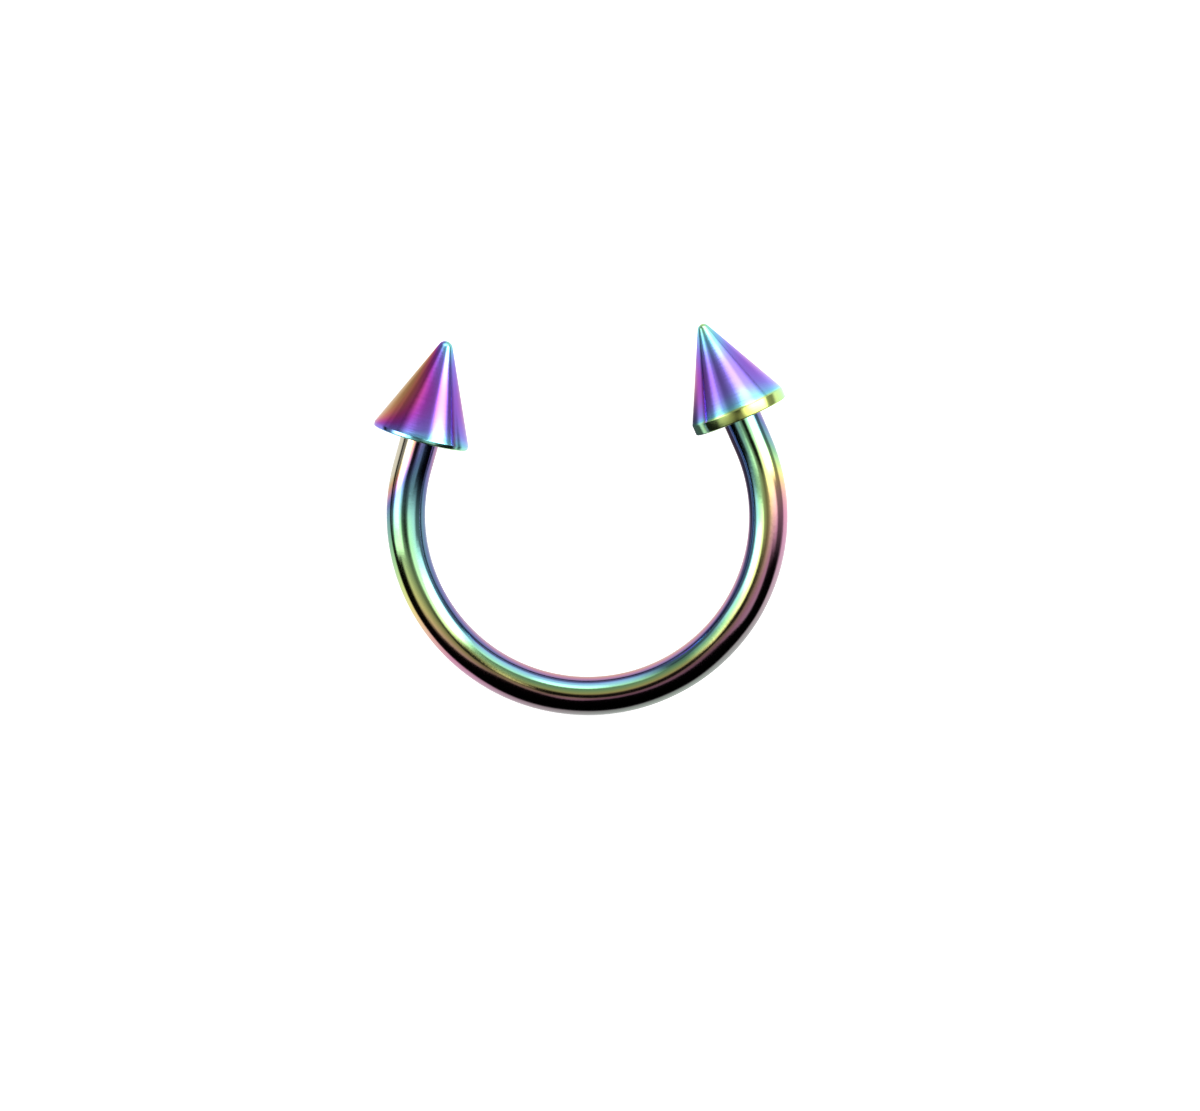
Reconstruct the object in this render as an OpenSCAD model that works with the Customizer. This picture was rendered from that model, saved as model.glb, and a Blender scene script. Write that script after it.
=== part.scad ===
// Circular barbell: a bent round bar with a screwed-on spike at each end, lying at rest on a flat surface.
// The surface is z = 0, and the opening between the spikes faces +Y.

/* [Bar] */
// Diameter of the bar
bar_d = 1.2; // [1.2:0.1:1.6]
// Inside diameter of the bent ring
ring_inner_d = 10; // [9:0.5:14]
// Angle left open between the two ends of the bend, in degrees
open_angle = 141; // [120:1:150]
// Straight length of bar between the bend and a spike
straight_len = 0.95; // [0.5:0.05:2]

/* [Threaded posts] */
// Outside diameter of the thread
post_d = 1.1; // [0.9:0.05:1.1]
// Length of a post, from the bar's shoulder to its end
post_len = 1.6; // [1.2:0.05:1.8]
// Distance from one thread crest to the next
thread_pitch = 0.25; // [0.2:0.05:0.3]
// Depth of the thread
thread_depth = 0.12; // [0.08:0.01:0.14]
// Length of the plain neck between the shoulder and the thread
neck_len = 0.15; // [0.1:0.05:0.3]

/* [Spikes] */
// Largest diameter of a spike
spike_d = 3; // [2.8:0.1:4]
// Length of a spike from its base to its tip
spike_len = 3.1; // [3:0.1:4]
// Height of the straight land round the left spike's base
left_land = 0.13; // [0.1:0.01:0.4]
// Height of the straight land round the right spike's base
right_land = 0.33; // [0.1:0.01:0.4]
// Radius of the left spike's rounded tip
left_tip_r = 0.24; // [0.1:0.01:0.3]
// Radius of the right spike's rounded tip
right_tip_r = 0.2; // [0.1:0.01:0.3]
// Width of the bevel that breaks the base's edge
edge_break = 0.04; // [0.02:0.01:0.08]
// Gap all round between a post and its socket
socket_gap = 0.02; // [0.01:0.01:0.04]
// Depth of a socket past the end of its post
socket_spare = 0.1; // [0.05:0.05:0.2]

/* [Hidden] */

bar_r = bar_d / 2;
spike_r = spike_d / 2;
post_r = post_d / 2;
mid_r = ring_inner_d / 2 + bar_r;

// The bend ends this many degrees above the X axis on each side, and a spike leans in by as much.
end_angle = 90 - open_angle / 2;
base_y = mid_r * sin(end_angle) + straight_len * cos(end_angle);

// At rest the far side of the bar and the lower rims of both spikes' lands touch the surface.
// The rims' lowest points are level with the bar's for a lean whose sine solves a quadratic.
rim_reach = mid_r + base_y + edge_break * cos(end_angle);
lean_a = pow(rim_reach, 2) + pow(spike_r * cos(end_angle), 2);
lean_b = 2 * rim_reach * bar_r;
lean_c = pow(bar_r, 2) - pow(spike_r, 2);
lean_sin = (-lean_b + sqrt(pow(lean_b, 2) - 4 * lean_a * lean_c)) / (2 * lean_a);
lean = asin(lean_sin);
centre_z = bar_r + mid_r * lean_sin;

// The origin is under the middle of the model, so the ring's centre sits a little off it in Y.
function tip_y(tip_r) = (base_y + (spike_len - tip_r) * cos(end_angle)) * cos(lean) + tip_r;
high_y = max(tip_y(left_tip_r), tip_y(right_tip_r));
low_y = -mid_r * cos(lean) - bar_r;
centre_y = -(high_y + low_y) / 2;

// A drill leaves a cone of this height for each unit of radius at a socket's end.
drill_point = 0.6;

// Side of a box that reaches past the ring.
cutter = 2 * mid_r;

ring_facets = 240;
fine_facets = 96;
tip_steps = 8;

// Puts the flat ring, centred on the origin with its opening towards +Y, into its place at rest.
module at_rest() {
    translate([0, centre_y, centre_z]) rotate([lean, 0, 0]) children();
}

// Turns a side's piece into place. It is made for the left side, with its end of the bend on the X axis.
// Side is -1 for the left and 1 for the right.
module on_side(side) {
    mirror([side > 0 ? 1 : 0, 0, 0]) rotate([0, 0, 180 - end_angle]) children();
}

// Puts what stands on the XY plane onto the end of the bend that lies on the X axis, pointing away from it.
module on_bend_end() {
    translate([mid_r, 0, 0]) rotate([90, 0, 0]) children();
}

// One V-shaped thread after another, as radius and height pairs.
function thread_profile(start, turns) = [
    for (turn = [0 : turns - 1], half = [0, 1])
        [post_r - (half == 0 ? thread_depth : 0), start + (turn + half / 2) * thread_pitch]
];

// Stands on z = 0: a straight end of the bar, its shoulder, a plain neck and the thread's crests as rings.
module straight_end() {
    root_r = post_r - thread_depth;
    turns = floor((post_len - neck_len) / thread_pitch);
    post_top = straight_len + post_len;
    rotate_extrude($fn = fine_facets)
        polygon(concat(
            [[0, 0], [bar_r, 0], [bar_r, straight_len], [root_r, straight_len]],
            thread_profile(straight_len + neck_len, turns),
            [[root_r, post_top], [0, post_top]]
        ));
}

// Fills the quarter past one end of the bend. Two of them clear the whole opening.
module past_bend_end() {
    translate([0, -cutter, -bar_d]) cube([cutter, cutter, 2 * bar_d]);
}

module bend() {
    difference() {
        rotate_extrude($fn = ring_facets) translate([mid_r, 0]) circle(r = bar_r, $fn = fine_facets);
        for (side = [-1, 1]) on_side(side) past_bend_end();
    }
}

// Points from one angle to another round a centre, as radius and height pairs.
function arc_profile(centre, r, from, to, steps) = [
    for (step = [0 : steps])
        let (angle = from + (to - from) * step / steps)
            [centre[0] + r * cos(angle), centre[1] + r * sin(angle)]
];

// Stands on z = 0 with its tip up. The cone runs from the land to where it meets the round tip squarely.
module spike(land, tip_r) {
    tip_z = spike_len - tip_r;
    rise = tip_z - land;
    half_angle = acos(tip_r / norm([spike_r, rise])) - atan2(rise, spike_r);
    socket_r = post_r + socket_gap;
    socket_len = post_len + socket_spare;
    rotate_extrude($fn = fine_facets)
        polygon(concat(
            [[socket_r, 0], [spike_r - edge_break, 0], [spike_r, edge_break], [spike_r, land]],
            arc_profile([0, tip_z], tip_r, half_angle, 90, tip_steps),
            [[0, socket_len + socket_r * drill_point], [socket_r, socket_len]]
        ));
}

module seated_spike(side, land, tip_r) {
    at_rest() on_side(side) on_bend_end() translate([0, 0, straight_len]) spike(land, tip_r);
}

module bar() {
    color("mediumseagreen") at_rest() {
        bend();
        for (side = [-1, 1]) on_side(side) on_bend_end() straight_end();
    }
}

module left_spike() {
    color("mediumorchid") seated_spike(-1, left_land, left_tip_r);
}

module right_spike() {
    color("mediumpurple") seated_spike(1, right_land, right_tip_r);
}

bar();
left_spike();
right_spike();
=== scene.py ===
import math

import bmesh
import bpy
from bpy.props import FloatProperty, FloatVectorProperty, IntProperty, PointerProperty
from mathutils import Euler, Matrix, Vector


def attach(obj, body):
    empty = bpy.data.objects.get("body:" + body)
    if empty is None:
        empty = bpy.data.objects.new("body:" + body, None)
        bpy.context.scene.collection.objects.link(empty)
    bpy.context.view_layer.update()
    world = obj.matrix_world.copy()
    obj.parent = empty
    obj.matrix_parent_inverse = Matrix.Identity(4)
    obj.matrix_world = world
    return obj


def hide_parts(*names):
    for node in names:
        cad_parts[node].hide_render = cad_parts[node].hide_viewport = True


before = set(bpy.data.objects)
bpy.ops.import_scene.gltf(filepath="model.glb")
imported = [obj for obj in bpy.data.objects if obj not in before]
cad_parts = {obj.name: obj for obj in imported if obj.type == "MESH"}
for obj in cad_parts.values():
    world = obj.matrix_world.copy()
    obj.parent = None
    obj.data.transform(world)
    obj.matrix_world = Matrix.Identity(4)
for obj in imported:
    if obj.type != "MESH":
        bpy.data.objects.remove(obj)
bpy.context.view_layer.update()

bl_info = {
    "name": "Spiked circular barbell",
    "version": (1, 0, 0),
    "blender": (4, 5, 0),
    "location": "3D View > Sidebar > Barbell",
    "description": "Builds a rainbow-coated circular barbell with two screw-on spikes, and its studio",
    "category": "Object",
}

MM = 0.001
WELD = 0.00002  # vertices closer than this, in mm, are one
SEAM_WELD = 0.0002  # and so are those closer than this, where two shapes meet
ON_RIM = 0.001  # a vertex this close, in mm, to a circle's height and radius is on it
SHARP = math.radians(50)  # edges that turn by more than this are shaded as edges


def hex_colour(code):
    """Turns an sRGB hex value such as "a0c4ff" into a linear colour with an alpha of 1."""
    def linear(part):
        value = int(part, 16) / 255
        return value / 12.92 if value <= 0.04045 else ((value + 0.055) / 1.055) ** 2.4

    return (linear(code[0:2]), linear(code[2:4]), linear(code[4:6]), 1.0)


# Sizes, colours and lights that a user would change.


def length_property(name, description, millimetres):
    return FloatProperty(name=name, description=description, default=millimetres * MM, min=0.0,
                         unit="LENGTH", precision=6)


class BarbellBarSizes(bpy.types.PropertyGroup):
    bar_diameter: length_property("Bar diameter", "Thickness of the bent bar", 1.2)
    ring_inside: length_property("Inside diameter", "Inside diameter of the bent ring", 10.0)
    open_angle: FloatProperty(name="Open angle", description="Angle left open between the ends of the bend",
                              default=math.radians(141), subtype="ANGLE", unit="ROTATION")
    straight: length_property("Straight end", "Straight length of bar between the bend and a spike", 0.95)
    post_diameter: length_property("Thread diameter", "Outside diameter of the threaded posts", 1.1)
    post_length: length_property("Post length", "Length of a post past the shoulder", 1.6)
    pitch: length_property("Thread pitch", "Distance from one thread crest to the next", 0.25)
    thread_depth: length_property("Thread depth", "Depth of the thread's V", 0.12)
    neck: length_property("Neck", "Plain length between the shoulder and the thread", 0.15)
    facets: IntProperty(name="Facets round", description="Facets round the bar and the threads",
                        default=128, min=32)


class BarbellSpikeSizes(bpy.types.PropertyGroup):
    diameter: length_property("Spike diameter", "Largest diameter of a spike", 3.0)
    length: length_property("Spike length", "From a spike's base to its tip", 3.1)
    left_land: length_property("Left land", "Height of the straight land at the left spike's base", 0.13)
    right_land: length_property("Right land", "Height of the straight land at the right spike's base", 0.33)
    left_tip: length_property("Left tip radius", "Radius of the left spike's rounded tip", 0.24)
    right_tip: length_property("Right tip radius", "Radius of the right spike's rounded tip", 0.2)
    edge_break: length_property("Edge break", "Radius that breaks the base's edge", 0.04)
    socket_gap: length_property("Thread play", "Gap all round between a post and its socket", 0.02)
    socket_spare: length_property("Socket spare", "Depth of a socket past the end of its post", 0.1)


class BarbellStudio(bpy.types.PropertyGroup):
    floor_colour: FloatVectorProperty(name="Floor", description="Colour of the pale floor", size=4,
                                      default=hex_colour("f6f6f6"), subtype="COLOR", min=0.0, max=1.0)
    light: FloatProperty(name="Light", description="Strength of the light tent", default=1.0, min=0.0)
    camera_distance: length_property("Camera distance", "From the camera to the middle of the ring", 300)
    camera_right: length_property("Camera right", "How far right of the ring's middle the camera is", 0.40)
    camera_down: length_property("Camera down", "How far below the ring's middle the camera is", 1.224)
    camera_tilt: FloatProperty(name="Camera tilt", description="Lean of the view away from straight down",
                               default=0.04, subtype="ANGLE", unit="ROTATION")
    camera_roll: FloatProperty(name="Camera roll", description="Turn of the picture about the upright",
                               default=math.radians(-3.78), subtype="ANGLE", unit="ROTATION")
    picture_width: length_property("Picture width", "Width of the picture at the ring", 37.05)


# The way the pieces lie at rest, worked out as in the CAD.


def bar_sizes(settings):
    """The bar's sizes in mm, with what follows from them."""
    sizes = {
        "r": settings.bar_diameter / MM / 2,
        "ring_r": (settings.ring_inside + settings.bar_diameter) / MM / 2,
        "end": math.pi / 2 - settings.open_angle / 2,
        "straight": settings.straight / MM,
        "post_r": settings.post_diameter / MM / 2,
        "post": settings.post_length / MM,
        "pitch": settings.pitch / MM,
        "depth": settings.thread_depth / MM,
        "neck": settings.neck / MM,
        "facets": settings.facets,
    }
    sizes["sweep"] = math.pi + 2 * sizes["end"]
    sizes["length"] = 2 * sizes["straight"] + sizes["ring_r"] * sizes["sweep"]
    return sizes


def shoulder_y(bar):
    """How far up the flat ring's opening side the shoulders are."""
    return bar["ring_r"] * math.sin(bar["end"]) + bar["straight"] * math.cos(bar["end"])


def lean_angle(bar, spikes):
    """How far the flat ring leans on the floor, with the edges of its two spikes down and its bottom down."""
    spike_r = spikes.diameter / MM / 2
    base_y = shoulder_y(bar)
    reach = bar["ring_r"] + base_y + spikes.edge_break / MM * math.cos(bar["end"])
    # The bend and the spikes' edges both touch when a * sine ** 2 + b * sine + c is 0, for the lean's sine.
    a = reach ** 2 + (spike_r * math.cos(bar["end"])) ** 2
    b = 2 * reach * bar["r"]
    c = bar["r"] ** 2 - spike_r ** 2
    return math.asin((-b + math.sqrt(b * b - 4 * a * c)) / (2 * a))


def rest_place(bar, spikes):
    """The matrix that lays the flat ring, opening towards +Y, on its side on the floor, in mm."""
    lean = lean_angle(bar, spikes)
    tips = [
        (shoulder_y(bar) + (spikes.length / MM - tip) * math.cos(bar["end"])) * math.cos(lean) + tip
        for tip in (spikes.left_tip / MM, spikes.right_tip / MM)
    ]
    low = -bar["ring_r"] * math.cos(lean) - bar["r"]
    centre = Vector((0, -(max(tips) + low) / 2, bar["r"] + bar["ring_r"] * math.sin(lean)))
    return Matrix.Translation(centre) @ Matrix.Rotation(lean, 4, "X")


def end_place(bar, side):
    """The matrix that stands what is on the XY plane on one end of the bend, pointing away from it."""
    stand = Matrix.Translation((bar["ring_r"], 0, 0)) @ Matrix.Rotation(math.pi / 2, 4, "X")
    if side < 0:
        return Matrix.Rotation(math.pi - bar["end"], 4, "Z") @ stand
    return Matrix.Rotation(math.pi, 4, "Y") @ Matrix.Rotation(math.pi - bar["end"], 4, "Z") @ stand


# Mesh making.


def boundary(bm):
    return [e for e in bm.edges if e.is_boundary]


def rim_edges(bm, back, height, radius):
    """The edges of the circle at a height and radius, in the frame that the matrix back leads to."""
    def on_rim(vert):
        point = back @ vert.co
        return abs(point.z - height) < ON_RIM and abs(point.xy.length - radius) < ON_RIM

    return [e for e in bm.edges if all(on_rim(v) for v in e.verts)]


def extrude_by(bm, edges, matrix):
    """Extrudes edges, moves the new ones by a matrix and returns them with their vertices."""
    made = bmesh.ops.extrude_edge_only(bm, edges=edges)["geom"]
    verts = [g for g in made if isinstance(g, bmesh.types.BMVert)]
    bmesh.ops.transform(bm, matrix=matrix, verts=verts)
    return [g for g in made if isinstance(g, bmesh.types.BMEdge) and g.is_boundary], verts


def screw_thread(facets, base_r, crest_r, start, pitch, first_turn, turns, bottom, top):
    """Winds a right-hand thread round the Z axis and closes it to plain round ends at two heights.

    The thread's surface is at base_r at start + pitch * turn, and at crest_r half a pitch further.
    It fades into the plain cylinder over half a turn at each end.
    """
    bm = bmesh.new()
    steps = round(facets * turns)
    crest_flat = 0.08 * pitch
    profile = [(base_r, 0.0), (base_r, 0.5 * crest_flat), (crest_r, 0.5 * (pitch - crest_flat)),
               (crest_r, 0.5 * (pitch + crest_flat)), (base_r, pitch - 0.5 * crest_flat), (base_r, pitch)]
    rise = start + pitch * first_turn
    turned = Matrix.Rotation(2 * math.pi * first_turn, 4, "Z")
    points = [bm.verts.new(turned @ Vector((r, 0, rise + z))) for r, z in profile]
    edges = [bm.edges.new(pair) for pair in zip(points, points[1:])]
    bmesh.ops.spin(bm, geom=points + edges, cent=(0, 0, 0), axis=(0, 0, 1), dvec=(0, 0, pitch / facets),
                   angle=2 * math.pi * turns, steps=steps, use_merge=False, use_duplicate=False)
    # Each profile is a row; the rows come in order of making, and their first one is the profile itself.
    bm.verts.ensure_lookup_table()
    rows = [list(bm.verts[i * len(profile):(i + 1) * len(profile)]) for i in range(steps + 1)]
    fade = facets / 2
    for i, row in enumerate(rows):
        share = min(1.0, i / fade, (steps - i) / fade)
        share = share * share * (3 - 2 * share)
        angle = 2 * math.pi * (first_turn + i / facets)
        for vert, (r, _z) in zip(row, profile):
            radius = base_r + (r - base_r) * share
            vert.co.x, vert.co.y = radius * math.cos(angle), radius * math.sin(angle)
    for chain, level in (([row[0] for row in rows[:facets + 1]], bottom),
                         ([row[-1] for row in rows[steps - facets:]], top)):
        members = set(chain)
        links = [e for e in boundary(bm) if e.verts[0] in members and e.verts[1] in members]
        _edges, verts = extrude_by(bm, links, Matrix.Identity(4))
        for vert in verts:
            vert.co.z = level
    # The step where the first and last turns meet the plain ends lies along one upright line.
    for vert in rows[0][:-1] + rows[-1][1:]:
        split_upright(bm, vert)
    bmesh.ops.remove_doubles(bm, verts=bm.verts[:], dist=WELD)
    return bm


def split_upright(bm, vert):
    """Gives any upright edge that passes through a vertex a vertex of its own there."""
    for edge in [e for e in bm.edges if e.is_boundary and vert not in e.verts]:
        low, high = sorted(edge.verts, key=lambda v: v.co.z)
        level = high.co.z - low.co.z
        if level < WELD or not low.co.z + WELD < vert.co.z < high.co.z - WELD:
            continue
        share = (vert.co.z - low.co.z) / level
        if (low.co.lerp(high.co, share) - vert.co).length < WELD:
            bmesh.utils.edge_split(edge, low, share)
            return


def join_into(bm, other, matrix):
    """Adds another bmesh to this one, moved by a matrix, and frees it."""
    bmesh.ops.transform(other, matrix=matrix, verts=other.verts[:])
    mesh = bpy.data.meshes.new("joining")
    other.to_mesh(mesh)
    other.free()
    bm.from_mesh(mesh)
    bpy.data.meshes.remove(mesh)


def turned_post(bar):
    """One threaded post, standing on the shoulder plane with its foot open at the thread's root radius."""
    root = bar["post_r"] - bar["depth"]
    chamfer = 0.06
    turns = 4.5
    post = screw_thread(bar["facets"], root, bar["post_r"], bar["neck"], bar["pitch"], 0.0, turns,
                        0.0, bar["post"] - chamfer)
    rim = rim_edges(post, Matrix.Identity(4), bar["post"] - chamfer, root)
    narrower = Matrix.Diagonal(((root - chamfer) / root, (root - chamfer) / root, 1, 1))
    edges, _verts = extrude_by(post, rim, Matrix.Translation((0, 0, chamfer)) @ narrower)
    bmesh.ops.contextual_create(post, geom=edges)
    return post


def round_corner(before, corner, after, radius, steps=4):
    """The points of the arc that rounds a corner of an outline."""
    before, corner, after = Vector(before), Vector(corner), Vector(after)
    back, ahead = (before - corner).normalized(), (after - corner).normalized()
    half = back.angle(ahead) / 2
    middle = corner + (back + ahead).normalized() * radius / math.sin(half)
    arm = corner + back * radius / math.tan(half) - middle
    way = 1 if back.x * ahead.y < back.y * ahead.x else -1
    sweep = way * (math.pi - 2 * half)
    return [middle + Matrix.Rotation(sweep * i / steps, 2) @ arm for i in range(steps + 1)]


def finished_piece(name, bm, place, material, uv_of):
    """Makes the object: turns its faces outwards, maps it, shades it and puts it in its place in metres."""
    bmesh.ops.recalc_face_normals(bm, faces=bm.faces[:])
    layer = bm.loops.layers.uv.new("surface")
    for face in bm.faces:
        for loop, value in zip(face.loops, uv_of(face)):
            loop[layer].uv = value
        face.smooth = True
    for edge in bm.edges:
        if edge.is_manifold and edge.calc_face_angle() > SHARP:
            edge.smooth = False
    bmesh.ops.transform(bm, matrix=Matrix.Scale(MM, 4) @ place, verts=bm.verts[:])
    mesh = bpy.data.meshes.new(name)
    bm.to_mesh(mesh)
    bm.free()
    piece = bpy.data.objects.new(name, mesh)
    bpy.context.scene.collection.objects.link(piece)
    mesh.materials.append(material)
    return piece


def wrapped(turns):
    """Brings one face's turns next to each other, so that none jumps from 1 to 0.

    A corner on the axis has None, and gets the middle of the others.
    """
    known = [turn for turn in turns if turn is not None]
    first = known[0]
    near = [first + (turn - first + 0.5) % 1.0 - 0.5 for turn in known]
    middle = sum(near) / len(near)
    following = iter(near)
    return [middle if turn is None else next(following) for turn in turns]


# Materials.

MATH = "ShaderNodeMath"
RANGE = "ShaderNodeMapRange"
SMOOTH = {"interpolation_type": "SMOOTHSTEP"}


def add_node(tree, kind, inputs=None, **settings):
    """Adds one node with its settings. An input gets a value, a socket or a node's first output."""
    made = tree.nodes.new(kind)
    for name, value in settings.items():
        setattr(made, name, value)
    for socket, value in (inputs or {}).items():
        if isinstance(value, bpy.types.Node):
            value = value.outputs[0]
        if isinstance(value, bpy.types.NodeSocket):
            tree.links.new(value, made.inputs[socket])
        else:
            made.inputs[socket].default_value = value
    return made


def new_tree(owner):
    """Gives a material or a world an empty node tree."""
    owner.use_nodes = True
    owner.node_tree.nodes.clear()
    return owner.node_tree


# Colours that a clear oxide film on steel gives back, by its thickness in orders of interference: straw,
# bronze and purple in the first order, blue, sky, mint, lemon and rose in the second, and grey and green in
# the third. The mirror-bright bar shows them paler than the satin cones do.
PALE_FILM = (
    (0.45, "d4ccb4"), (0.56, "ccc09c"), (0.64, "ccb084"), (0.72, "d0a07c"), (0.79, "cc9488"),
    (0.86, "c48aa0"), (0.93, "ac82ac"), (1.00, "8076b0"), (1.08, "6474a8"), (1.16, "688eaa"),
    (1.24, "70a0a8"), (1.32, "78aca0"), (1.40, "88c090"), (1.48, "a8d898"), (1.56, "c8e090"),
    (1.64, "e6e08c"), (1.70, "eccc90"), (1.78, "e0aca0"), (1.86, "cc8ca6"), (1.94, "ba88a2"),
    (2.04, "a68c98"), (2.16, "909490"), (2.30, "86b18c"), (2.50, "7fc595"),
)
DEEP_FILM = (
    (0.30, "c4b898"), (0.45, "c4ac70"), (0.60, "b89c5c"), (0.76, "c8905c"), (0.84, "cf7068"),
    (0.92, "c4488c"), (1.00, "a844b8"), (1.08, "9464d8"), (1.16, "8c80e8"), (1.24, "88aef2"),
    (1.32, "80c8f0"), (1.40, "90e4ec"), (1.48, "a0eed0"), (1.56, "b4e49c"), (1.64, "d0dc78"),
    (1.70, "e8d868"), (1.78, "f0b868"), (1.86, "ee9488"), (1.94, "e07cac"),
)


def film_colour(tree, orders, colours):
    """The film's colour for a thickness in orders."""
    low, high = colours[0][0], colours[-1][0]
    place = add_node(tree, RANGE, {0: orders, 1: low, 2: high, 3: 0.0, 4: 1.0})
    node = add_node(tree, "ShaderNodeValToRGB", {0: place})
    ramp = node.color_ramp
    ramp.elements.remove(ramp.elements[-1])
    for i, (order, code) in enumerate(colours):
        stop = ramp.elements[0] if i == 0 else ramp.elements.new((order - low) / (high - low))
        stop.color = hex_colour(code)
    return node.outputs[0]


def surface_place(tree):
    """The two numbers of a piece's own UV map."""
    parts = add_node(tree, "ShaderNodeSeparateXYZ", {0: add_node(tree, "ShaderNodeUVMap", uv_map="surface")})
    return parts.outputs[0], parts.outputs[1]


# Film on the bar, in orders. It has its first value on the top of the section, grows towards the outside of
# the bend, and is rounded off there. It is thickest at one compass angle of the ring, and thins by the
# square of the way to its reach on both sides, and more on the outside. Near the shoulders, where the spikes
# kept the coating off, it thins once more over the shadow's length, in mm, and least a little inwards of the
# top.
BAR_FILM = {
    "top": 1.82, "outward": 0.72, "rounding": -0.34,
    "thickest": math.radians(290), "reach": math.radians(124),
    "thinning": 0.53, "outward_thinning": 0.80, "outer_recovery": -0.16,
    "left_shadow": 0.34, "right_shadow": 0.14, "shadow_length": 2.8,
    "shadow_least": 0.5, "shadow_inward": 0.35, "shadow_hollow": 1.8,
}
# Finish of the bar, with lengths in mm: the waves left by bending, and the grain left by tumbling.
BAR_FINISH = {"roughness": 0.11, "wave": 2.6, "wave_depth": 0.18, "grain": 0.12, "grain_depth": 0.0006}


def film_loss_at_ends(tree, bar, along, outward):
    """How much less film the bar has near its shoulders, in orders."""
    film = BAR_FILM
    from_middle = add_node(tree, MATH, {0: along, 1: 0.5}, operation="SUBTRACT")
    to_end = add_node(tree, MATH, {0: from_middle}, operation="ABSOLUTE")
    start = 0.5 - film["shadow_length"] / bar["length"]
    close = add_node(tree, RANGE, {0: to_end, 1: start, 2: 0.5}, **SMOOTH)
    depth = add_node(tree, RANGE, {0: along, 3: film["left_shadow"], 4: film["right_shadow"]})
    offset = add_node(tree, MATH, {0: outward, 1: film["shadow_inward"]}, operation="ADD")
    rounded = add_node(tree, MATH, {0: offset, 1: offset}, operation="MULTIPLY")
    share = add_node(tree, MATH, {0: rounded, 1: film["shadow_hollow"], 2: film["shadow_least"]},
                     operation="MULTIPLY_ADD")
    shadow = add_node(tree, MATH, {0: close, 1: depth}, operation="MULTIPLY")
    return add_node(tree, MATH, {0: shadow, 1: share}, operation="MULTIPLY")


def bar_film(tree, bar):
    """The thickness of the bar's film, in orders."""
    film = BAR_FILM
    along, around = surface_place(tree)
    turn = add_node(tree, MATH, {0: around, 1: 2 * math.pi}, operation="MULTIPLY")
    outward = add_node(tree, MATH, {0: turn}, operation="COSINE")
    middle = bar["straight"] + (film["thickest"] - math.pi + bar["end"]) * bar["ring_r"]
    reach = film["reach"] * bar["ring_r"]
    away = add_node(tree, RANGE, {0: along, 1: (middle - reach) / bar["length"],
                                  2: (middle + reach) / bar["length"], 3: -1.0, 4: 1.0}, clamp=False)
    squared = add_node(tree, MATH, {0: away, 1: away}, operation="MULTIPLY")
    steeper = add_node(tree, MATH, {0: outward, 1: film["outer_recovery"], 2: film["outward_thinning"]},
                       operation="MULTIPLY_ADD")
    thinner = add_node(tree, MATH, {0: outward, 1: steeper, 2: film["thinning"]}, operation="MULTIPLY_ADD")
    at_ends = film_loss_at_ends(tree, bar, along, outward)
    loss = add_node(tree, MATH, {0: squared, 1: thinner, 2: at_ends}, operation="MULTIPLY_ADD")
    slope = add_node(tree, MATH, {0: outward, 1: film["rounding"], 2: film["outward"]},
                     operation="MULTIPLY_ADD")
    full = add_node(tree, MATH, {0: outward, 1: slope, 2: film["top"]}, operation="MULTIPLY_ADD")
    return add_node(tree, MATH, {0: full, 1: loss}, operation="SUBTRACT")


def polished_bar_material(bar):
    # Surgical steel wire, bent, tumbled to a mirror and coated with an oxide film in a vacuum: it mirrors
    # what is round it in sharp bands, tinted by the film. Bending left slow waves in it, so the bands wander
    # a little. The grain that tumbling leaves is finer on the real one, and is drawn coarse enough to show.
    material = bpy.data.materials.new("tumble_polished_steel_oxide_film")
    tree = new_tree(material)
    finish = BAR_FINISH
    place = add_node(tree, "ShaderNodeTexCoord").outputs["Object"]
    waves = add_node(tree, "ShaderNodeTexNoise", {
        "Vector": place, "Scale": 1 / (finish["wave"] * MM), "Detail": 0.0,
    })
    wavy = add_node(tree, "ShaderNodeBump", {
        "Height": waves, "Distance": finish["wave_depth"] * MM, "Strength": 1.0,
    })
    grain = add_node(tree, "ShaderNodeTexNoise", {
        "Vector": place, "Scale": 1 / (finish["grain"] * MM), "Detail": 1.0,
    })
    grained = add_node(tree, "ShaderNodeBump", {
        "Height": grain, "Distance": finish["grain_depth"] * MM, "Strength": 1.0, "Normal": wavy,
    })
    shader = add_node(tree, "ShaderNodeBsdfPrincipled", {
        "Base Color": film_colour(tree, bar_film(tree, bar), PALE_FILM), "Metallic": 1.0,
        "Roughness": finish["roughness"], "Normal": grained,
    })
    add_node(tree, "ShaderNodeOutputMaterial", {0: shader})
    return material


# Film on each cone, in orders: on the middle of its flank, how much more on its upper side and on the side
# away from the ring's middle, and how much more by the share of the way from the base's edge to the tip.
SPIKE_FILM = {
    "left": {
        "middle": 0.78, "upper": 0.25, "outer": -0.185,
        "heights": (
            (0.0, 0.48), (0.03, 0.36), (0.07, 0.22), (0.14, 0.1), (0.35, 0.0), (0.65, 0.04), (0.82, 0.14),
            (0.93, 0.33), (1.0, 0.4),
        ),
    },
    "right": {
        "middle": 0.95, "upper": 0.18, "outer": 0.05,
        "heights": (
            (0.0, 0.5), (0.09, 0.5), (0.12, 0.28), (0.2, 0.1), (0.4, 0.0), (0.65, 0.06), (0.8, 0.2),
            (0.92, 0.36), (1.0, 0.48),
        ),
    },
}
# Finish of the cones, with lengths in mm: the turning tool's marks, and how far they smear a reflection.
SPIKE_FINISH = {"roughness": 0.17, "smear": 0.6, "quarter_turn": 0.25, "feed": 0.07, "mark_depth": 0.0012}


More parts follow.
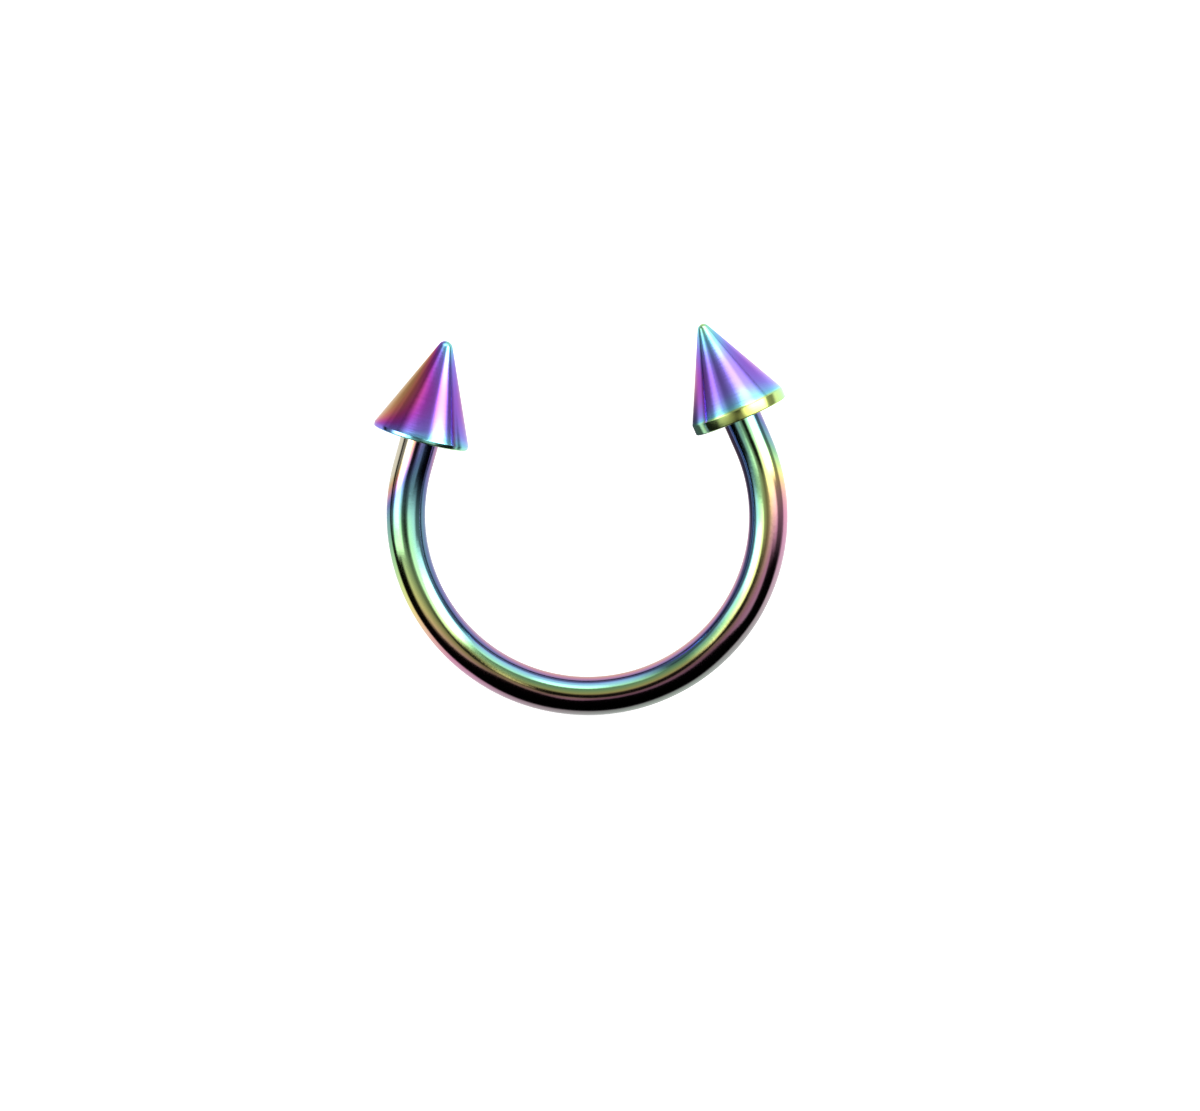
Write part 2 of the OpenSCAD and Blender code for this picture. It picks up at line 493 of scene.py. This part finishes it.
def spike_film(tree, film, along, upper, outer):
    """The thickness of a spike's film, in orders."""
    curve = add_node(tree, "ShaderNodeFloatCurve", {"Value": along})
    points = curve.mapping.curves[0].points
    points[0].location, points[1].location = film["heights"][0], film["heights"][-1]
    for place, value in film["heights"][1:-1]:
        points.new(place, value)
    curve.mapping.update()
    rising = add_node(tree, MATH, {0: upper, 1: film["upper"], 2: film["middle"]}, operation="MULTIPLY_ADD")
    flank = add_node(tree, MATH, {0: outer, 1: film["outer"], 2: rising}, operation="MULTIPLY_ADD")
    return add_node(tree, MATH, {0: flank, 1: curve}, operation="ADD")


def turned_spike_material(side, wall):
    # Surgical steel cone cut on a lathe and coated with the same film: the fine turning marks run round it,
    # so what it mirrors smears into satin stripes from tip to base. Real marks are a few hundredths of a
    # millimetre apart, and are drawn a little coarser so that they show.
    material = bpy.data.materials.new(f"lathe_turned_steel_oxide_film_{side}")
    tree = new_tree(material)
    finish = SPIKE_FINISH
    around, along = surface_place(tree)
    turn = add_node(tree, MATH, {0: around, 1: 2 * math.pi}, operation="MULTIPLY")
    upper = add_node(tree, MATH, {0: turn}, operation="SINE")
    outer = add_node(tree, MATH, {0: turn}, operation="COSINE")
    orders = spike_film(tree, SPIKE_FILM[side], along, upper, outer)
    passes = add_node(tree, MATH, {0: along, 1: wall / finish["feed"]}, operation="MULTIPLY")
    rings = add_node(tree, "ShaderNodeCombineXYZ", {0: passes, 1: upper, 2: outer})
    marks = add_node(tree, "ShaderNodeTexNoise", {"Vector": rings, "Scale": 1.0, "Detail": 1.0})
    grooved = add_node(tree, "ShaderNodeBump", {
        "Height": marks, "Distance": finish["mark_depth"] * MM, "Strength": 1.0,
    })
    # The map runs round the cone, and the smear lies across the marks, a quarter turn from that.
    tangent = add_node(tree, "ShaderNodeTangent", direction_type="UV_MAP", uv_map="surface")
    shader = add_node(tree, "ShaderNodeBsdfPrincipled", {
        "Base Color": film_colour(tree, orders, DEEP_FILM), "Metallic": 1.0,
        "Roughness": finish["roughness"], "Anisotropic": finish["smear"],
        "Anisotropic Rotation": finish["quarter_turn"], "Tangent": tangent, "Normal": grooved,
    })
    add_node(tree, "ShaderNodeOutputMaterial", {0: shader})
    return material


# The pieces.


class BARBELL_OT_bar(bpy.types.Operator):
    """Makes the bent bar with its two threaded posts, in place of the plain one"""

    bl_idname = "barbell.bar"
    bl_label = "Bent bar"

    def execute(self, context):
        bar = bar_sizes(context.scene.barbell_bar)
        place = rest_place(bar, context.scene.barbell_spikes)
        # A short stretch behind each shoulder keeps the shading of its rounded rim off the rest of the bar.
        short, shoulder_round, bend_steps = 0.05, 0.03, 220
        stretches = (short, bar["straight"] - short)
        bm = bmesh.new()
        # The section starts at the left shoulder, runs down the straight end, round the bend and up again.
        made = bmesh.ops.create_circle(bm, cap_ends=False, segments=bar["facets"], radius=bar["r"])
        left, right = end_place(bar, -1), end_place(bar, 1)
        start = left @ Matrix.Translation((0, 0, bar["straight"]))
        bmesh.ops.transform(bm, matrix=start, verts=made["verts"])
        edges = bm.edges[:]
        for stretch in stretches:
            down = left.to_3x3() @ Vector((0, 0, -stretch))
            edges, verts = extrude_by(bm, edges, Matrix.Translation(down))
        bend = bmesh.ops.spin(bm, geom=edges + verts, cent=(0, 0, 0), axis=(0, 0, 1), dvec=(0, 0, 0),
                              angle=bar["sweep"], steps=bend_steps, use_merge=False, use_duplicate=False)
        edges = [g for g in bend["geom_last"] if isinstance(g, bmesh.types.BMEdge)]
        for stretch in reversed(stretches):
            up = right.to_3x3() @ Vector((0, 0, stretch))
            edges, verts = extrude_by(bm, edges, Matrix.Translation(up))
        # Each shoulder steps in to the thread's root, and carries its post.
        root = (bar["post_r"] - bar["depth"]) / bar["r"]
        shoulders = [end @ Matrix.Translation((0, 0, bar["straight"])) for end in (left, right)]
        for shoulder in shoulders:
            back = shoulder.inverted()
            rim = rim_edges(bm, back, 0.0, bar["r"])
            extrude_by(bm, rim, shoulder @ Matrix.Diagonal((root, root, 1, 1)) @ back)
            join_into(bm, turned_post(bar), shoulder)
        bmesh.ops.remove_doubles(bm, verts=bm.verts[:], dist=SEAM_WELD)
        for shoulder in shoulders:
            rim = rim_edges(bm, shoulder.inverted(), 0.0, bar["r"])
            bmesh.ops.bevel(bm, geom=rim, offset=shoulder_round, offset_type="OFFSET", affect="EDGES",
                            segments=3, profile=0.5, material=-1, clamp_overlap=True)

        def uv_of(face):
            spots = [bar_spot(bar, loop.vert.co) for loop in face.loops]
            return list(zip([spot[0] for spot in spots], wrapped([spot[1] for spot in spots])))

        piece = finished_piece("ring_bar", bm, place, polished_bar_material(bar), uv_of)
        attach(piece, "bar")
        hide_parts("bar")
        return {"FINISHED"}


def bar_spot(bar, point):
    """Where a point of the flat ring is: the share of the bar's length, and the turn round its section.

    The share is 0 at the left shoulder and 1 at the right one; the turn is 0 on the outside of the bend.
    """
    swept = (math.atan2(point.y, point.x) - (math.pi - bar["end"])) % (2 * math.pi)
    if swept <= bar["sweep"]:
        along = bar["straight"] + bar["ring_r"] * swept
        outward = math.hypot(point.x, point.y) - bar["ring_r"]
    else:
        side = -1 if point.x < 0 else 1
        local = end_place(bar, side).inverted() @ point
        along = bar["straight"] - local.z if side < 0 else bar["length"] - bar["straight"] + local.z
        outward = local.x
    return along / bar["length"], math.atan2(point.z, outward) / (2 * math.pi)


class BARBELL_OT_spikes(bpy.types.Operator):
    """Makes the two screw-on spikes, each with its tapped socket, in place of the plain ones"""

    bl_idname = "barbell.spikes"
    bl_label = "Screw-on spikes"

    def execute(self, context):
        bar = bar_sizes(context.scene.barbell_bar)
        sizes = context.scene.barbell_spikes
        place = rest_place(bar, sizes)
        for side, name, land, tip in ((-1, "left", sizes.left_land, sizes.left_tip),
                                      (1, "right", sizes.right_land, sizes.right_tip)):
            bm, wall = turned_spike(bar, sizes, land / MM, tip / MM)
            along = bm.verts.layers.float.get("along")

            def uv_of(face, side=side, along=along):
                """The turn from the ring's outside, by way of the top, and the place along."""
                corners = [loop.vert for loop in face.loops]
                turns = [
                    math.atan2(-side * v.co.y, v.co.x) / (2 * math.pi) if v.co.xy.length > WELD else None
                    for v in corners
                ]
                return list(zip(wrapped(turns), [v[along] for v in corners]))

            stand = place @ end_place(bar, side) @ Matrix.Translation((0, 0, bar["straight"]))
            piece = finished_piece(f"spike_{name}", bm, stand, turned_spike_material(name, wall), uv_of)
            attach(piece, f"{name}_spike")
            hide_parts(f"{name}_spike")
        return {"FINISHED"}


def spike_outline(bar, sizes, land, tip_r):
    """The outline that the lathe turns, as radius and height, from the mouth of the socket to the tip."""
    spike_r, length = sizes.diameter / MM / 2, sizes.length / MM
    bore = bar["post_r"] + sizes.socket_gap / MM
    countersink, land_round, rim_width, steps = 0.05, 0.03, 0.1, 16
    tip_z = length - tip_r
    rise = tip_z - land
    # Where the cone runs into the round tip, as an angle up from level.
    meet = math.acos(tip_r / math.hypot(spike_r, rise)) - math.atan2(rise, spike_r)
    tip = [Vector((tip_r * math.cos(a), tip_z + tip_r * math.sin(a)))
           for a in (meet + (math.pi / 2 - meet) * i / steps for i in range(steps))]
    edge, top = Vector((spike_r, 0)), Vector((spike_r, land))
    # Points close to the rounded edges and the tip keep their shading off the straight cone between them.
    cone = [top.lerp(tip[0], share) for share in (0.03, 0.1, 0.5, 0.9, 0.98)]
    return [Vector((bore, countersink)), Vector((bore + countersink, 0)), Vector((spike_r - rim_width, 0)),
            *round_corner((0, 0), edge, top, sizes.edge_break / MM),
            *round_corner(edge, top, tip[0], land_round), *cone, *tip, Vector((0, length))]


def turned_spike(bar, sizes, land, tip_r):
    """One spike, standing on z = 0, turned outside and tapped inside, with the length of its outer wall."""
    outline = spike_outline(bar, sizes, land, tip_r)
    mouth, countersink = outline[0]
    depth = bar["post"] + sizes.socket_spare / MM
    drill_point = mouth * 0.6
    # The tapped hole comes first, because its making counts on the order of its vertices. Its thread stands
    # half a pitch from the post's, and starts before it.
    first_turn, turns = -0.75, 5.0
    bm = screw_thread(bar["facets"], mouth, bar["post_r"] - bar["depth"] + sizes.socket_gap / MM,
                      bar["neck"] + bar["pitch"] / 2, bar["pitch"], first_turn, turns, countersink, depth)
    _edges, verts = extrude_by(bm, rim_edges(bm, Matrix.Identity(4), depth, mouth), Matrix.Identity(4))
    bmesh.ops.pointmerge(bm, verts=verts, merge_co=(0, 0, depth + drill_point))
    along = bm.verts.layers.float.new("along")
    base = sizes.diameter / MM / 2 - mouth
    gone = [0.0]
    for a, b in zip(outline, outline[1:]):
        gone.append(gone[-1] + (b - a).length)
    wall = gone[-1] - base
    points = []
    for spot, distance in zip(outline, gone):
        vert = bm.verts.new((spot.x, 0, spot.y))
        vert[along] = (distance - base) / wall
        points.append(vert)
    edges = [bm.edges.new(pair) for pair in zip(points, points[1:])]
    bmesh.ops.spin(bm, geom=points + edges, cent=(0, 0, 0), axis=(0, 0, 1), dvec=(0, 0, 0),
                   angle=2 * math.pi, steps=bar["facets"], use_merge=True, use_duplicate=False)
    bmesh.ops.remove_doubles(bm, verts=bm.verts[:], dist=SEAM_WELD)
    return bm, wall


# The studio.

# Softboxes of the light tent, set out about the photograph's line of sight and level with the ring: the
# compass angle of the middle, half the width and the softness of the ends, in degrees anticlockwise from
# +X; where the light rises and falls, as the share of the way across a round bar that mirrors it, from its
# top to its edge; and the strength.
SOFTBOXES = {
    "left": (162, 25, 4, (0.12, 0.25), (0.54, 0.64), 2.2),
    "left_lamp": (163, 14, 10, (0.20, 0.34), (0.49, 0.61), 6.0),
    "left_edge": (134, 9, 8, (0.14, 0.28), (0.50, 0.64), 0.8),
    "right": (18, 26, 9, (0.06, 0.20), (0.42, 0.58), 2.0),
    "right_lamp": (27, 16, 9, (0.14, 0.38), (0.56, 0.69), 6.5),
    "back": (74, 34, 13, (0.43, 0.52), (0.68, 0.80), 2.0),
    "back_lamp": (79, 18, 10, (0.45, 0.51), (0.57, 0.68), 3.8),
    "cloth_over_the_back": (74, 74, 10, (0.14, 0.24), (0.50, 0.62), 0.33),
    "cloth_on_the_left": (197, 13, 9, (0.20, 0.32), (0.35, 0.48), 0.75),
    "cloth_on_the_right": (350, 12, 8, (0.05, 0.13), (0.22, 0.34), 0.5),
    "low_left": (142, 38, 8, (0.56, 0.64), (0.78, 0.84), 0.3),
    "low_right": (32, 40, 10, (0.46, 0.54), (0.78, 0.84), 0.33),
}
# The seam of the tent, a faint strip nearly overhead that drops from its middle to its ends and widens
# outwards, in the same shares. Its light grows outwards too, and fades away between the last two.
SEAM = {"middle": -0.035, "ends": -0.055, "bend": 0.13, "spread": 0.35, "inner": 0.023, "outer": 0.067,
        "light": 0.18, "gain": 1.7, "fade": (0.26, 0.36)}


def light_tent(context, studio, sight, lean):
    """Paints the light tent on the world, by direction."""
    world = bpy.data.worlds.new("light_tent")
    context.scene.world = world
    tree = new_tree(world)
    direction = add_node(tree, "ShaderNodeTexCoord").outputs["Generated"]
    # A surface mirrors this direction into the camera when its normal is half way between the two.
    both = add_node(tree, "ShaderNodeVectorMath", {0: direction, 1: sight}, operation="ADD")
    halfway = add_node(tree, "ShaderNodeVectorMath", {0: both}, operation="NORMALIZE")
    level = add_node(tree, "ShaderNodeVectorRotate", {0: halfway, "Angle": -lean}, rotation_type="X_AXIS")
    x, y, z = add_node(tree, "ShaderNodeSeparateXYZ", {0: level}).outputs
    upright = add_node(tree, MATH, {0: z, 1: z}, operation="MULTIPLY")
    sideways = add_node(tree, MATH, {0: 1.0, 1: upright}, operation="SUBTRACT")
    across = add_node(tree, MATH, {0: sideways}, operation="SQRT")
    bearing = add_node(tree, MATH, {0: y, 1: x}, operation="ARCTAN2")
    total = seam_light(tree, x, y)
    for name, box in SOFTBOXES.items():
        part = softbox_light(tree, name, box, bearing, across)
        total = add_node(tree, MATH, {0: total, 1: part}, operation="MAXIMUM")
    light = add_node(tree, MATH, {0: total, 1: studio.light}, operation="MULTIPLY")
    tent = add_node(tree, "ShaderNodeBackground", {0: (1, 1, 1, 1), 1: light})
    backdrop = add_node(tree, "ShaderNodeBackground", {0: hex_colour("f2f2f2"), 1: 1.0})
    seen = add_node(tree, "ShaderNodeLightPath").outputs["Is Camera Ray"]
    mixed = add_node(tree, "ShaderNodeMixShader", {0: seen, 1: tent, 2: backdrop})
    add_node(tree, "ShaderNodeOutputWorld", {0: mixed})


def softbox_light(tree, name, box, bearing, across):
    """The light of one softbox of the tent."""
    compass, half, softness, rise, fall, strength = box
    middle = math.radians(compass)
    full, none = math.radians(half - softness), math.radians(half + softness)
    near = add_node(tree, MATH, {0: bearing, 1: middle + math.pi, 2: middle - math.pi}, operation="WRAP")
    aside = add_node(tree, MATH, {0: near, 1: middle}, operation="SUBTRACT")
    off = add_node(tree, MATH, {0: aside}, operation="ABSOLUTE")
    wide = add_node(tree, RANGE, {0: off, 1: full, 2: none, 3: strength, 4: 0.0}, **SMOOTH)
    risen = add_node(tree, RANGE, {0: across, 1: rise[0], 2: rise[1]}, **SMOOTH)
    fallen = add_node(tree, RANGE, {0: across, 1: fall[0], 2: fall[1], 3: 1.0, 4: 0.0}, **SMOOTH)
    high = add_node(tree, MATH, {0: risen, 1: fallen}, operation="MULTIPLY")
    return add_node(tree, MATH, {0: wide, 1: high}, operation="MULTIPLY", label=name)


def seam_light(tree, x, y):
    """The light of the tent's seam."""
    aside = add_node(tree, MATH, {0: x}, operation="ABSOLUTE")
    middle = add_node(tree, RANGE, {0: aside, 1: 0.0, 2: SEAM["bend"], 3: SEAM["middle"], 4: SEAM["ends"]},
                      **SMOOTH)
    gap = add_node(tree, MATH, {0: y, 1: middle}, operation="SUBTRACT")
    width = add_node(tree, MATH, {0: gap}, operation="ABSOLUTE")
    spread = add_node(tree, MATH, {0: aside, 1: SEAM["spread"]}, operation="MULTIPLY")
    off = add_node(tree, MATH, {0: width, 1: spread}, operation="SUBTRACT")
    narrow = add_node(tree, RANGE, {0: off, 1: SEAM["inner"], 2: SEAM["outer"], 3: 1.0, 4: 0.0}, **SMOOTH)
    full, none = SEAM["fade"]
    short = add_node(tree, RANGE, {0: aside, 1: full, 2: none, 3: 1.0, 4: 0.0}, **SMOOTH)
    strength = add_node(tree, MATH, {0: aside, 1: SEAM["gain"], 2: SEAM["light"]}, operation="MULTIPLY_ADD")
    strip = add_node(tree, MATH, {0: narrow, 1: short}, operation="MULTIPLY")
    return add_node(tree, MATH, {0: strip, 1: strength}, operation="MULTIPLY")


# Painted light and painted shade that the metal finds on the paper sheet, which glows with it though it is no
# lamp: by place in mm and by slant, from 0 square on to 1 grazing. Met steeply the sheet is painted bright,
# with painted shade inside the ring and dimmer in front. Met at a slant it is painted dark, but for a painted
# patch of light on the right. Beyond the ring's opening, over so many radians to both sides, it is even at
# any slant and brighter to the right.
SHEET = {
    "slants": (0.67, 0.89),
    "shade_middle": (2.0, 1.4), "shade_edge": (1.6, 3.4), "shade": 0.1,
    "front_edge": (-10, -6), "front": 0.6,
    "painted_patch_right": (4, 7), "painted_patch_across": (0.3, 0.95, 0), "painted_patch_edge": (-3.5, -1), "painted_patch": 0.3,
    "beyond": (8, 11), "opening": (0.80, 1.05), "even_across": (-5, 5), "even": (0.5, 0.95),
    "own_light": 0.6,
}


def in_mm(pair):
    """The two sockets of a range in metres, from a pair in mm."""
    return {1: pair[0] * MM, 2: pair[1] * MM}


def painted_light_by_the_ring(tree, place, x, y):
    """The sheet's painted light and painted shade under, inside and in front of the ring."""
    # Painted light: a bright patch on the sheet to the right of the ring.
    rightward = add_node(tree, RANGE, {0: x, **in_mm(SHEET["painted_patch_right"])}, **SMOOTH)
    sideways = add_node(tree, "ShaderNodeVectorMath", {0: place, 1: SHEET["painted_patch_across"]},
                        operation="DOT_PRODUCT").outputs["Value"]
    behind = add_node(tree, RANGE, {0: sideways, **in_mm(SHEET["painted_patch_edge"])}, **SMOOTH)
    painted_patch = add_node(tree, MATH, {0: rightward, 1: behind}, operation="MULTIPLY")
    # Painted shade: the sheet goes dark where the metal meets it at a slant.
    slant = add_node(tree, "ShaderNodeLayerWeight", {0: 0.5}).outputs["Facing"]
    steep, grazing = SHEET["slants"]
    near = add_node(tree, RANGE, {0: slant, 1: steep, 2: grazing, 3: 1.0, 4: 0.0}, **SMOOTH)
    shade_x, shade_y = SHEET["shade_middle"]
    gap = add_node(tree, "ShaderNodeVectorMath", {0: place, 1: (shade_x * MM, shade_y * MM, 0)},
                   operation="DISTANCE").outputs["Value"]
    # Painted shade: a dark spot on the sheet inside the ring, and the sheet dimmer in front of it.
    shade = add_node(tree, RANGE, {0: gap, **in_mm(SHEET["shade_edge"]), 3: SHEET["shade"]}, **SMOOTH)
    front = add_node(tree, RANGE, {0: y, **in_mm(SHEET["front_edge"]), 3: SHEET["front"]})
    shaded = add_node(tree, MATH, {0: near, 1: shade}, operation="MULTIPLY")
    spread = add_node(tree, MATH, {0: shaded, 1: front}, operation="MULTIPLY")
    return add_node(tree, MATH, {0: painted_patch, 1: SHEET["painted_patch"], 2: spread}, operation="MULTIPLY_ADD")


def painted_sheet_light(tree):
    """The painted light that the metal finds on the sheet, with its even part beyond the ring's opening."""
    place = add_node(tree, "ShaderNodeTexCoord").outputs["Object"]
    x, y, _z = add_node(tree, "ShaderNodeSeparateXYZ", {0: place}).outputs
    far = add_node(tree, "ShaderNodeVectorMath", {0: place}, operation="LENGTH").outputs["Value"]
    # Painted light: even beyond the ring's opening, and brighter to the right.
    beyond = add_node(tree, RANGE, {0: far, **in_mm(SHEET["beyond"])}, **SMOOTH)
    compass = add_node(tree, MATH, {0: y, 1: x}, operation="ARCTAN2")
    aside = add_node(tree, MATH, {0: compass, 1: math.pi / 2}, operation="SUBTRACT")
    off = add_node(tree, MATH, {0: aside}, operation="ABSOLUTE")
    inner, outer = SHEET["opening"]
    opening = add_node(tree, RANGE, {0: off, 1: inner, 2: outer, 3: 1.0, 4: 0.0}, **SMOOTH)
    there = add_node(tree, MATH, {0: beyond, 1: opening}, operation="MULTIPLY")
    left, right = SHEET["even"]
    even = add_node(tree, RANGE, {0: x, **in_mm(SHEET["even_across"]), 3: left, 4: right})
    around = painted_light_by_the_ring(tree, place, x, y)
    return add_node(tree, "ShaderNodeMix", {0: there, 2: around, 3: even}, data_type="FLOAT")


def floor_material(studio):
    # Matt white paper sweep, pale and even to the eye. The metal mirrors painted light and painted shade
    # that the sheet gives off itself.
    material = bpy.data.materials.new("matt_paper_sweep")
    tree = new_tree(material)
    # Painted light and painted shade, given off by the sheet itself, for all but camera rays.
    painted_glow = add_node(tree, "ShaderNodeEmission", {0: (1, 1, 1, 1), 1: painted_sheet_light(tree)})
    matt = add_node(tree, "ShaderNodeBsdfDiffuse", {0: studio.floor_colour})
    lift = add_node(tree, "ShaderNodeEmission", {0: (1, 1, 1, 1), 1: SHEET["own_light"]})
    shown = add_node(tree, "ShaderNodeAddShader", {0: matt, 1: lift})
    seen = add_node(tree, "ShaderNodeLightPath").outputs["Is Camera Ray"]
    mixed = add_node(tree, "ShaderNodeMixShader", {0: seen, 1: painted_glow, 2: shown})
    add_node(tree, "ShaderNodeOutputMaterial", {0: mixed})
    return material


FLOOR_RADIUS = 3.0  # metres, past the edges of any view
SENSOR_WIDTH = 36  # mm of the camera's film


class BARBELL_OT_studio(bpy.types.Operator):
    """Lays the pale floor, lights the tent and sets the camera"""

    bl_idname = "barbell.studio"
    bl_label = "Studio"

    def execute(self, context):
        scene = context.scene
        studio = scene.barbell_studio
        bar = bar_sizes(scene.barbell_bar)
        bm = bmesh.new()
        bmesh.ops.create_circle(bm, cap_ends=True, segments=96, radius=FLOOR_RADIUS)
        mesh = bpy.data.meshes.new("floor")
        bm.to_mesh(mesh)
        bm.free()
        floor = bpy.data.objects.new("floor", mesh)
        mesh.materials.append(floor_material(studio))
        scene.collection.objects.link(floor)
        middle = rest_place(bar, scene.barbell_spikes).translation * MM
        turned = Euler((0, studio.camera_tilt, studio.camera_roll)).to_matrix()
        light_tent(context, studio, turned.col[2], lean_angle(bar, scene.barbell_spikes))
        camera = bpy.data.objects.new("camera", bpy.data.cameras.new("camera"))
        scene.collection.objects.link(camera)
        camera.rotation_euler = turned.to_euler()
        away = Vector((studio.camera_right, -studio.camera_down, studio.camera_distance))
        camera.location = middle + turned @ away
        camera.data.sensor_width = SENSOR_WIDTH
        camera.data.lens = SENSOR_WIDTH * studio.camera_distance / studio.picture_width
        camera.data.clip_start, camera.data.clip_end = 0.01, 10
        scene.camera = camera
        scene.view_settings.view_transform = "Standard"
        return {"FINISHED"}


class BARBELL_PT_pieces(bpy.types.Panel):
    bl_label = "Spiked circular barbell"
    bl_space_type = "VIEW_3D"
    bl_region_type = "UI"
    bl_category = "Barbell"

    def draw(self, context):
        column = self.layout.column()
        for operator in OPERATORS:
            column.operator(operator.bl_idname)
        for name, group in SETTINGS.items():
            for setting in group.__annotations__:
                column.prop(getattr(context.scene, name), setting)


OPERATORS = (BARBELL_OT_bar, BARBELL_OT_spikes, BARBELL_OT_studio)
SETTINGS = {
    "barbell_bar": BarbellBarSizes,
    "barbell_spikes": BarbellSpikeSizes,
    "barbell_studio": BarbellStudio,
}


def register():
    for kind in (*SETTINGS.values(), *OPERATORS, BARBELL_PT_pieces):
        bpy.utils.register_class(kind)
    for name, group in SETTINGS.items():
        setattr(bpy.types.Scene, name, PointerProperty(type=group))


def unregister():
    for name in SETTINGS:
        delattr(bpy.types.Scene, name)
    for kind in reversed((*SETTINGS.values(), *OPERATORS, BARBELL_PT_pieces)):
        bpy.utils.unregister_class(kind)


def main():
    register()
    bpy.ops.barbell.bar()
    bpy.ops.barbell.spikes()
    bpy.ops.barbell.studio()


if __name__ == "__main__":
    main()
